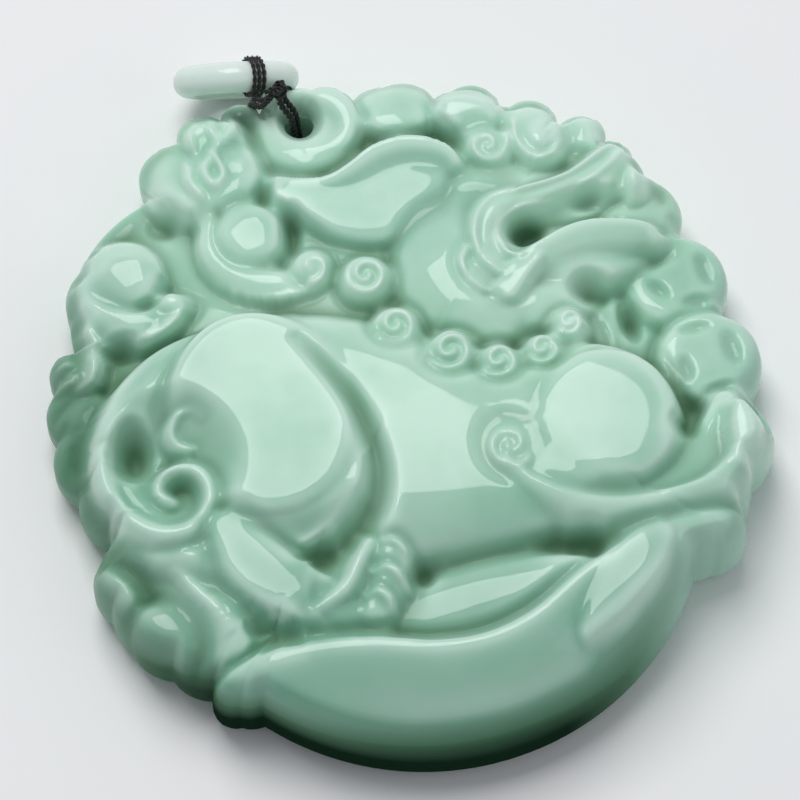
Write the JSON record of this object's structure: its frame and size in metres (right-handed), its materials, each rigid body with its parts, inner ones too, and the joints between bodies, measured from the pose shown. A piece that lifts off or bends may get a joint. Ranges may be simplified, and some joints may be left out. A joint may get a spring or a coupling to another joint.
{
  "type": "carved jade pendant",
  "caption": "Round jade pendant carved with a crouching beast, coins, curling clouds and a boat-shaped ingot, with a small ring tied to its cord hole.",
  "frame": {"origin": "Middle of the pendant's flat back, on the surface that it lies on.", "axes": "+Z out of the carved face, +Y toward the cord hole at the top, +X to the right as the face is looked at."},
  "size_m": [0.0572, 0.0653, 0.0128],
  "materials": {
    "carved_stone": "polished pale green jade, waxy and glossy",
    "ring_stone": "polished very pale green jade",
    "thread": "dark brown twisted thread"
  },
  "bodies": {
    "root": {"carved_pendant": "carved_stone", "bail_ring": "ring_stone", "thread": "thread"}
  },
  "joints": []
}
